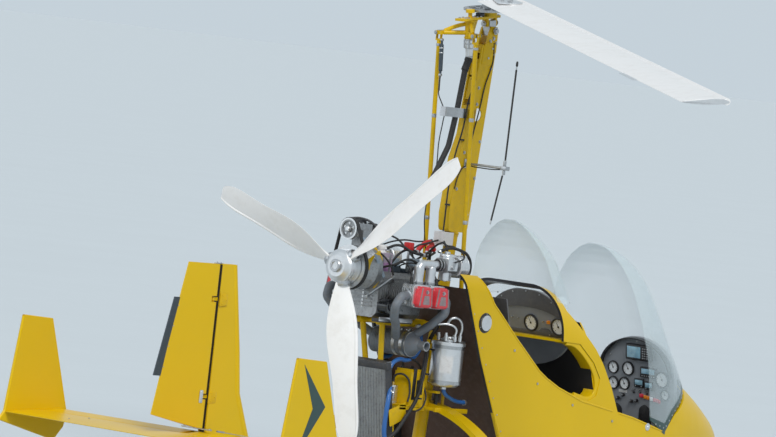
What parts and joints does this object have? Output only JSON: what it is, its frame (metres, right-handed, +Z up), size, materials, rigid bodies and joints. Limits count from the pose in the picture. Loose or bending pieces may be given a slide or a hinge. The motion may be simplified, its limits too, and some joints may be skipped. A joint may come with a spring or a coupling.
{
  "type": "tandem gyrocopter",
  "caption": "Two-seat open-cockpit gyrocopter with a pusher propeller, open flat engine, mast and teetering rotor, tail fins and fixed wheeled gear.",
  "frame": {"origin": "on the ground under the rotor hub, the centre of the box's bottom", "axes": "+X towards the nose, +Y to port, +Z up"},
  "size_m": [5.183, 6.6208, 3.0576],
  "materials": {
    "pod_yellow": "gloss",
    "frame_yellow": "gloss",
    "rotor_white": "gloss",
    "glass_clear": "polished",
    "firewall_brown": "matte",
    "panel_grey": "matte",
    "cushion_black": "matte",
    "seat_grey": "satin",
    "engine_grey": "satin",
    "valve_red": "satin",
    "silver": "satin",
    "exhaust_dark": "matte",
    "black_plastic": "matte",
    "bottle_clear": "satin",
    "box_white": "satin",
    "rubber_black": "matte",
    "tyre_black": "matte",
    "steel": "satin",
    "tail_yellow": "gloss",
    "slate": "satin"
  },
  "bodies": {
    "airframe": {"fuselage_pod": "pod_yellow", "filler_cap": "silver", "firewall": "firewall_brown", "front_seat_fairing": "pod_yellow", "front_windshield": "glass_clear", "rear_windshield": "glass_clear", "control_sticks": "black_plastic", "rudder_pedals": "silver", "mast": "frame_yellow", "engine_frame": "frame_yellow", "crankcase": "engine_grey", "cylinders": "engine_grey", "valve_covers": "valve_red", "gearbox": "engine_grey", "intake_runners": "silver", "carburettors": "silver", "exhaust_pipes": "exhaust_dark", "muffler": "exhaust_dark", "oil_tank": "silver", "oil_filter": "black_plastic", "coolant_bottle": "bottle_clear", "radiator": "engine_grey", "battery_box": "frame_yellow", "electrics_box": "box_white", "fuel_pump": "silver", "prerotator_drive": "engine_grey", "flexible_shaft": "rubber_black", "leaf_leg": "pod_yellow", "stub_axles": "steel", "kingpin_housing": "frame_yellow", "stabiliser": "tail_yellow", "tail_wheel_fork": "frame_yellow", "instrument_panels": "panel_grey", "seat_cushions": "cushion_black", "seat_shells": "seat_grey", "fins": "tail_yellow", "mast_fittings": "steel"},
    "rudder": {"rudder": "tail_yellow", "trim_tab": "slate"},
    "propeller": {"prop_hub": "silver", "prop_blades": "rotor_white"},
    "gimbal": {"gimbal_block": "steel"},
    "rotor_head": {"head_frame": "frame_yellow", "starter_motor": "silver"},
    "rod_end_left": {"rod_cross_left": "steel"},
    "rod_end_right": {"rod_cross_right": "steel"},
    "rod_left": {"push_rod_left": "frame_yellow"},
    "rod_right": {"push_rod_right": "frame_yellow"},
    "spindle": {"rotor_spindle": "steel"},
    "rotor": {"hub_bar": "silver", "rotor_blades": "rotor_white"},
    "nose_leg": {"nose_fork": "frame_yellow"},
    "nose_wheel": {"nose_tyre": "tyre_black", "nose_rim": "silver"},
    "main_wheel_left": {"main_tyre_left": "tyre_black", "main_rim_left": "silver"},
    "main_wheel_right": {"main_tyre_right": "tyre_black", "main_rim_right": "silver"},
    "tail_wheel": {"tail_tyre": "tyre_black", "tail_rim": "silver"}
  },
  "joints": [
    {"name": "rotor_head_pitch", "type": "hinge", "parent": "airframe", "child": "gimbal", "pos_m": [0.02439, 0, 2.505], "axis": [0, 1, 0], "range_deg": [-8, 8]},
    {"name": "rotor_head_roll", "type": "hinge", "parent": "gimbal", "child": "rotor_head", "pos_m": [0.01907, 0, 2.5406], "axis": [0.989, 0, 0.1478], "range_deg": [-8, 8]},
    {"name": "rod_eye_left_roll", "type": "hinge", "parent": "rotor_head", "child": "rod_end_left", "pos_m": [-0.21594, 0.115, 2.46908], "axis": [0.989, 0, 0.1478], "range_deg": [-8, 8]},
    {"name": "rod_eye_left_pitch", "type": "hinge", "parent": "rod_end_left", "child": "rod_left", "pos_m": [-0.21594, 0.115, 2.46908], "axis": [0, 1, 0], "range_deg": [-8, 8]},
    {"name": "rod_eye_right_roll", "type": "hinge", "parent": "rotor_head", "child": "rod_end_right", "pos_m": [-0.21594, -0.115, 2.46908], "axis": [0.989, 0, 0.1478], "range_deg": [-8, 8]},
    {"name": "rod_eye_right_pitch", "type": "hinge", "parent": "rod_end_right", "child": "rod_right", "pos_m": [-0.21594, -0.115, 2.46908], "axis": [0, 1, 0], "range_deg": [-8, 8]},
    {"name": "rotor_spin", "type": "hinge", "parent": "rotor_head", "child": "spindle", "pos_m": [0, 0, 2.66819], "axis": [-0.1478, 0, 0.989], "continuous": true},
    {"name": "rotor_teeter", "type": "hinge", "parent": "spindle", "child": "rotor", "pos_m": [-0.00266, 0, 2.68599], "axis": [0.7794, -0.6157, 0.1165], "range_deg": [-6, 6]},
    {"name": "propeller_spin", "type": "hinge", "parent": "airframe", "child": "propeller", "pos_m": [-0.88, 0, 1.3], "axis": [1, 0, 0], "continuous": true},
    {"name": "rudder_hinge", "type": "hinge", "parent": "airframe", "child": "rudder", "pos_m": [-1.796, 0, 0.8785], "axis": [0, 0, 1], "range_deg": [-25, 25]},
    {"name": "nose_steering", "type": "hinge", "parent": "airframe", "child": "nose_leg", "pos_m": [1.44, 0, 0.362], "axis": [0, 0, 1], "range_deg": [-25, 25]},
    {"name": "nose_wheel_spin", "type": "hinge", "parent": "nose_leg", "child": "nose_wheel", "pos_m": [1.48, 0, 0.17], "axis": [0, 1, 0], "continuous": true},
    {"name": "main_wheel_left_spin", "type": "hinge", "parent": "airframe", "child": "main_wheel_left", "pos_m": [-0.215, 0.8, 0.19], "axis": [0, 1, 0], "continuous": true},
    {"name": "main_wheel_right_spin", "type": "hinge", "parent": "airframe", "child": "main_wheel_right", "pos_m": [-0.215, -0.8, 0.19], "axis": [0, 1, 0], "continuous": true},
    {"name": "tail_wheel_spin", "type": "hinge", "parent": "airframe", "child": "tail_wheel", "pos_m": [-1.985, 0, 0.13], "axis": [0, 1, 0], "continuous": true}
  ],
  "couplings": [
    {"joint": "rod_eye_left_roll", "follows": "rotor_head_roll", "ratio": -1},
    {"joint": "rod_eye_right_roll", "follows": "rotor_head_roll", "ratio": -1},
    {"joint": "rod_eye_left_pitch", "follows": "rotor_head_pitch", "ratio": -1},
    {"joint": "rod_eye_right_pitch", "follows": "rotor_head_pitch", "ratio": -1},
    {"joint": "nose_steering", "follows": "rudder_hinge", "ratio": -1}
  ]
}
